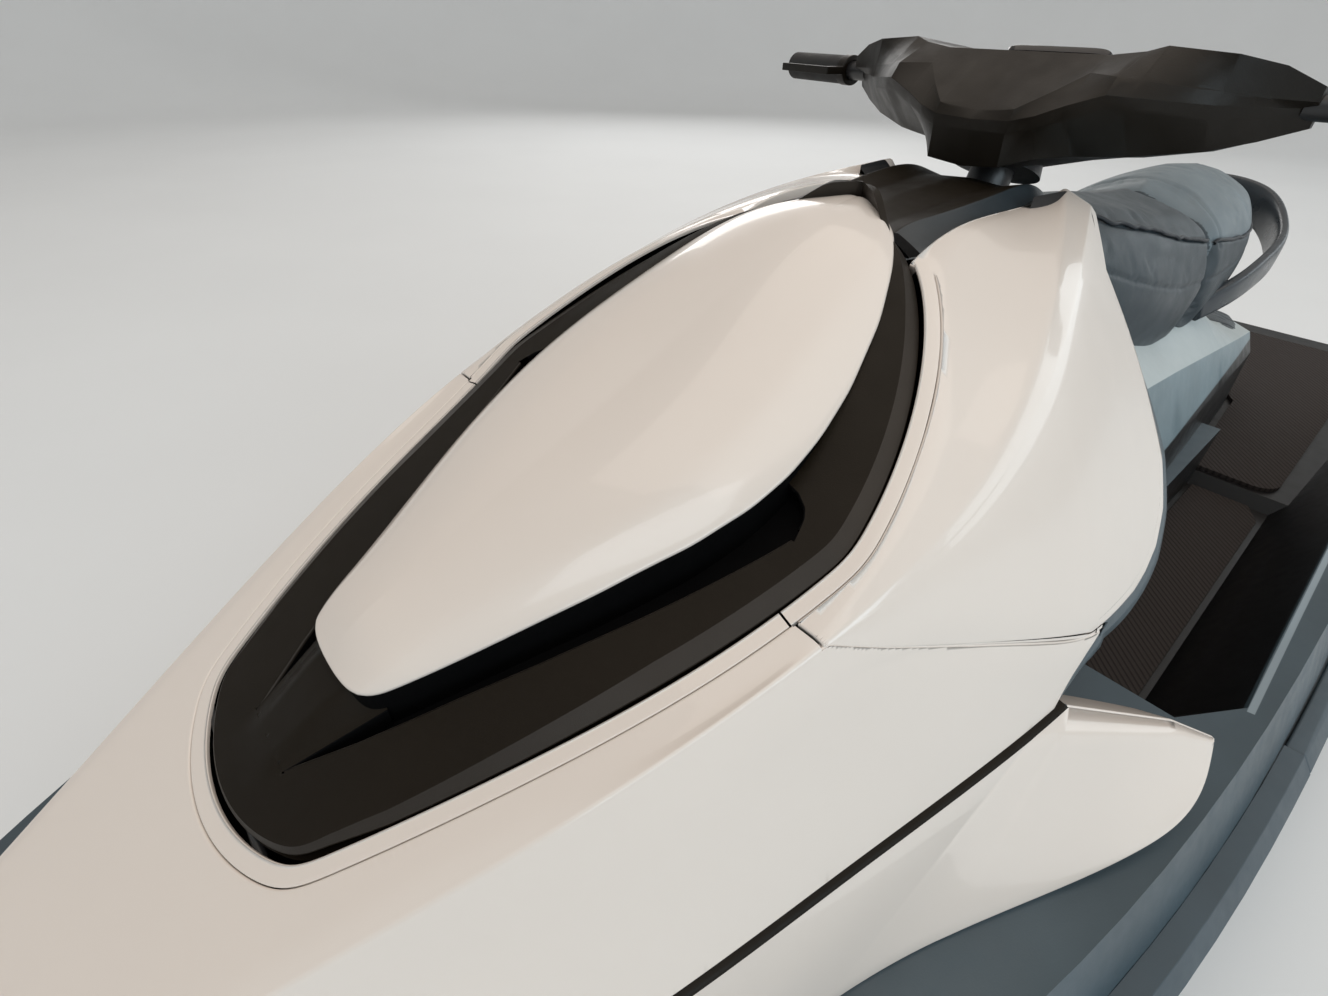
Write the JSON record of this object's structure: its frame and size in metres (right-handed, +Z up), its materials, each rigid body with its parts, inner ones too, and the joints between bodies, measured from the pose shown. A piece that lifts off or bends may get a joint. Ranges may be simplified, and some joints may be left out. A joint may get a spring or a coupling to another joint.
{
  "type": "personal watercraft",
  "caption": "Seated personal watercraft with a long white hood, hinged front lid, faceted steering pod, two-part seat and a jet pump with steering nozzle and reverse bucket.",
  "frame": {"origin": "amidships on the centreline at the waterline", "axes": "+X forward along the keel, +Y port, +Z up"},
  "size_m": [2.966, 1.1778, 1.1263],
  "materials": {
    "white_shell": "gloss warm white",
    "black_shell": "satin black",
    "deck_plastic": "satin slate grey",
    "bumper": "satin dark grey",
    "pedestal_plastic": "satin light grey",
    "tub_plastic": "textured black",
    "seat_vinyl": "grained grey vinyl",
    "handle_plastic": "satin black",
    "foam_mat": "grooved black foam",
    "bright_steel": "polished",
    "battery_case": "dark paint",
    "motor_case": "cast",
    "pump_metal": "black coated",
    "pod_plastic": "fine texture",
    "screen_glass": "gloss black screen",
    "bar_metal": "black",
    "grip_rubber": "ribbed"
  },
  "bodies": {
    "craft": {"hull": "deck_plastic", "deck": "deck_plastic", "bumper_bow": "bumper", "bumper_port": "bumper", "bumper_starboard": "bumper", "bumper_stern": "bumper", "hood": "white_shell", "cowl_port": "white_shell", "cowl_starboard": "white_shell", "side_panel_port": "white_shell", "side_panel_starboard": "white_shell", "trim_port": "black_shell", "trim_starboard": "black_shell", "storage_tub": "tub_plastic", "lid_hinge_pin": "bright_steel", "neck_cover": "black_shell", "pedestal": "pedestal_plastic", "seat_front": "seat_vinyl", "seat_rear": "seat_vinyl", "grab_handle": "handle_plastic", "mat_port": "foam_mat", "mat_starboard": "foam_mat", "mat_platform": "foam_mat", "bow_eye": "bright_steel", "tow_eye": "bright_steel", "battery": "battery_case", "motor": "motor_case", "pump_housing": "pump_metal", "intake_grate": "pump_metal", "rear_pad": "seat_vinyl"},
    "front_lid": {"lid_bezel": "black_shell", "lid_panel": "white_shell"},
    "steering": {"steering_pod": "pod_plastic", "display": "screen_glass", "steering_column": "bar_metal", "handlebar": "bar_metal", "grip_port": "grip_rubber", "grip_starboard": "grip_rubber", "lever_port": "pod_plastic", "lever_starboard": "pod_plastic"},
    "nozzle": {"steering_nozzle": "pump_metal"},
    "bucket": {"reverse_bucket": "pump_metal"},
    "rotor": {"impeller": "bright_steel"}
  },
  "joints": [
    {"name": "lid_hinge", "type": "hinge", "parent": "craft", "child": "front_lid", "pos_m": [1.034, 0, 0.436], "axis": [0, 1, 0], "range_deg": [0, 50]},
    {"name": "steer", "type": "hinge", "parent": "craft", "child": "steering", "pos_m": [0.15, 0, 0.735], "axis": [-0.3746, 0, 0.9272], "range_deg": [-22, 22]},
    {"name": "nozzle_swing", "type": "hinge", "parent": "craft", "child": "nozzle", "pos_m": [-1.31, 0, -0.095], "axis": [0, 0, 1], "range_deg": [-22, 22]},
    {"name": "bucket_tilt", "type": "hinge", "parent": "craft", "child": "bucket", "pos_m": [-1.3, 0, -0.095], "axis": [0, 1, 0], "range_deg": [-62, 0]},
    {"name": "impeller_spin", "type": "hinge", "parent": "craft", "child": "rotor", "pos_m": [-1.16, 0, -0.095], "axis": [1, 0, 0], "continuous": true}
  ],
  "couplings": [
    {"joint": "nozzle_swing", "follows": "steer", "ratio": -1}
  ]
}
